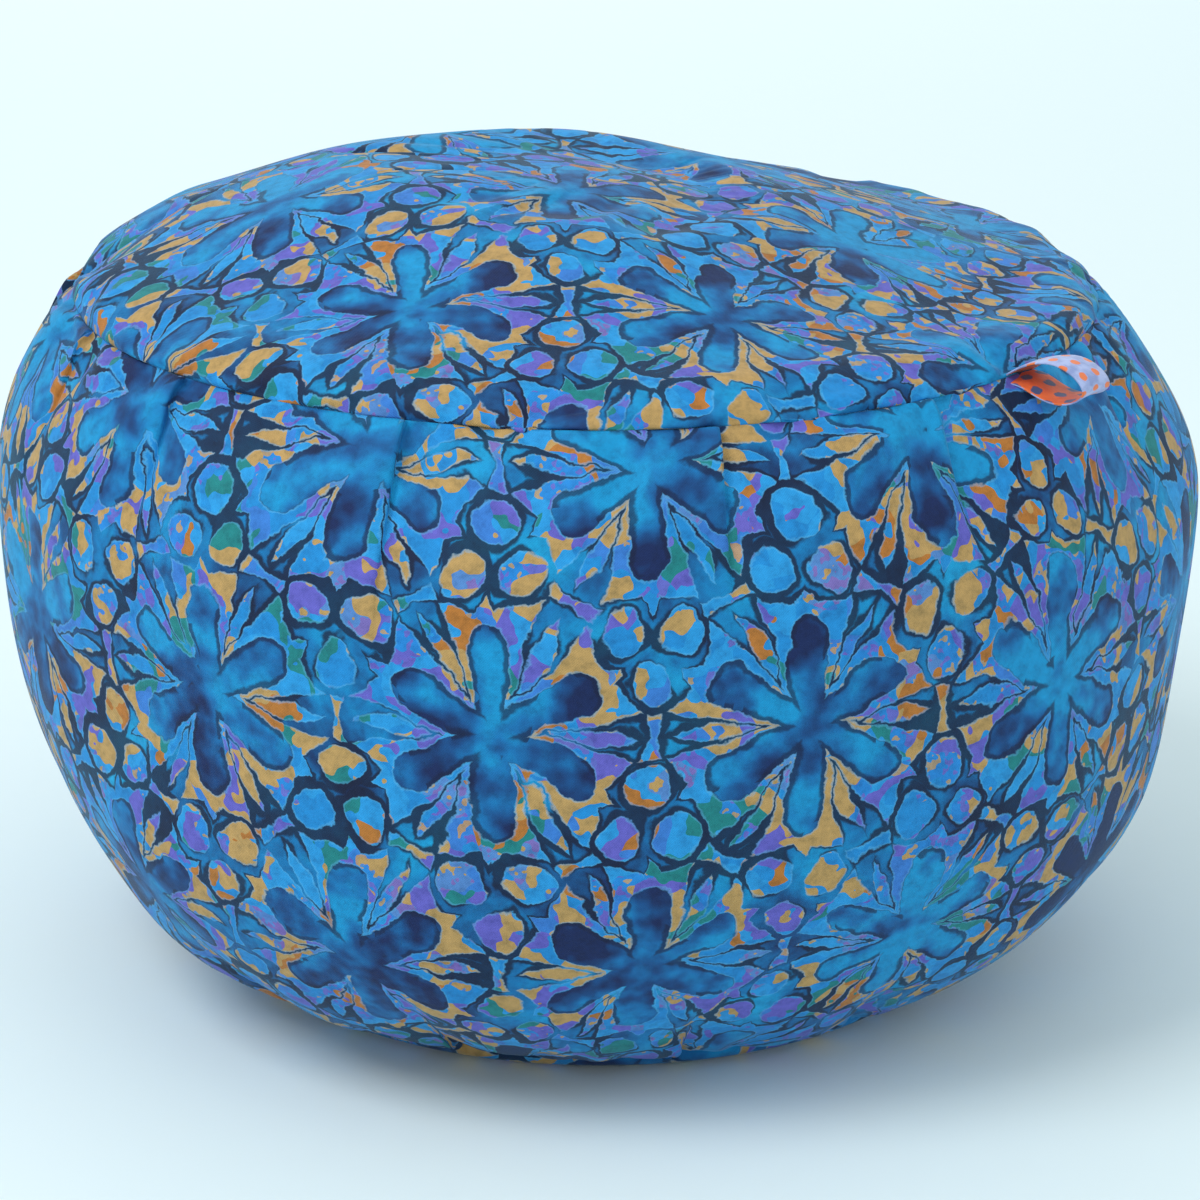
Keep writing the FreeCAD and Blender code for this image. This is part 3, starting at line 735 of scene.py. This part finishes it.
def inner_shape(deeper):
    """The cover's shape without its folds, smoothed, and further in; every other row and column."""
    grid = cover[:, plain]
    clear_of_seams = np.r_[0:top_seam - 3, top_seam + 5:base_seam - 2, base_seam + 5:len(rows)]
    grid, kinds = grid[clear_of_seams], panel[clear_of_seams]
    for _ in range(10):
        grid = (np.roll(grid, 1, 1) + 2 * grid + np.roll(grid, -1, 1)) / 4
        grid[1:-1] = (grid[:-2] + 2 * grid[1:-1] + grid[2:]) / 4
    amount = np.where(kinds == "top", 0.0045, np.where(kinds == "side", 0.0065, 0.0005))[:, None, None] + deeper
    for _ in range(4):
        amount[1:-1] = (amount[:-2] + 2 * amount[1:-1] + amount[2:]) / 4
    grid = grid - amount * outward(grid, True)
    grid[..., 2] = np.maximum(grid[..., 2], 0.0014 + deeper)
    keep = np.arange(0, grid.shape[1], 2)
    return grid[:, keep], kinds


def soft_piece(name, grid, material, closed_at, thickness=None):
    """A padded piece inside the cover, closed in the middle at the rows given, and one cloth thick if it is cloth."""
    place = np.stack(np.meshgrid(np.arange(grid.shape[1]) * 0.01, np.arange(grid.shape[0]) * 0.005), -1)
    made = cloth_mesh(name, grid, place, True, [(grid[r].mean(0), (0, 0), r % len(grid)) for r in closed_at])
    made.data.materials.append(material)
    if thickness:
        thick = made.modifiers.new("thick", "SOLIDIFY")
        thick.thickness, thick.offset = thickness, -1
    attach(made, "cushion")
    return made


bag, kinds = inner_shape(0.0)
# unbleached cotton: creamy, matt and a little slubby
calico = plain_material("unbleached_cotton", "#d8cdb2", 0.85, bump=(0.0008, 0.00015, "noise"), mottle="#e2d9c2")
top_end, side_end = int(np.sum(kinds == "top")), int(np.sum(kinds != "base"))
for name, grid, closed_at in (("top_panel", bag[:top_end], [0]), ("side_band", bag[top_end - 1:side_end + 1], []),
                              ("base_panel", bag[side_end:], [-1])):
    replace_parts(soft_piece("inner_" + name, grid, calico, closed_at, 0.0006), "liner_" + name)

# ---- Filling ------------------------------------------------------------------------------
# Teased fibre packed into the inner bag until it is firm. It is off-white, without any shine, and
# tufted on a scale of a few millimetres.
core, _ = inner_shape(0.0014)
fibre = plain_material("teased_fibre", "#dcd2b8", 0.95, bump=(0.004, 0.0012, "noise"), mottle="#eee8d8")
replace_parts(soft_piece("fibre_filling", core, fibre, [0, -1]), "filling")

# ---- Floor, light and camera --------------------------------------------------------------
# A pale seamless matt floor, a large soft light from the upper left, a weak one from the right and
# another behind, in an even pale room. Colours are shown as they are, with no film curve.
bpy.ops.mesh.primitive_plane_add(size=9, location=(0, 0, -0.0003))
floor = bpy.context.object
floor.name = "floor"
floor.data.materials.append(plain_material("pale_floor", "#e7f4f6", 0.9))
world = bpy.data.worlds.new("room")
bpy.context.scene.world = world
world.use_nodes = True
world.node_tree.nodes["Background"].inputs["Color"].default_value = paint("#eef8fa")
world.node_tree.nodes["Background"].inputs["Strength"].default_value = 0.88
for name, at, size, power in (("key", (-1.2, -1.0, 2.0), 1.1, 25), ("fill", (1.3, -1.2, 0.8), 1.2, 1.5),
                              ("rear", (-0.2, 2.1, 1.0), 1.6, 5)):
    lamp = bpy.data.lights.new(name, "AREA")
    lamp.energy, lamp.size = power, size
    stood = bpy.data.objects.new(name, lamp)
    bpy.context.scene.collection.objects.link(stood)
    stood.location, stood.visible_camera = at, False
    stood.rotation_euler = (Vector((0, 0, 0.12)) - Vector(at)).to_track_quat("-Z", "Y").to_euler()

lens = bpy.data.cameras.new("camera")
lens.lens, lens.sensor_width = 124.1, 36
camera = bpy.data.objects.new("camera", lens)
bpy.context.scene.collection.objects.link(camera)
bpy.context.scene.camera = camera
bpy.context.scene.view_settings.view_transform = "Standard"
target, raised, distance = Vector((0.0018, 0, 0.1173)), math.radians(18.5), 1.385
stand = target + Vector((0, -math.cos(raised) * distance, math.sin(raised) * distance))
tilt = 0.009
facing = (target - stand).to_track_quat("-Z", "Y").to_matrix() @ Matrix.Rotation(tilt, 3, "Z")
camera.matrix_world = Matrix.Translation(stand) @ facing.to_4x4()
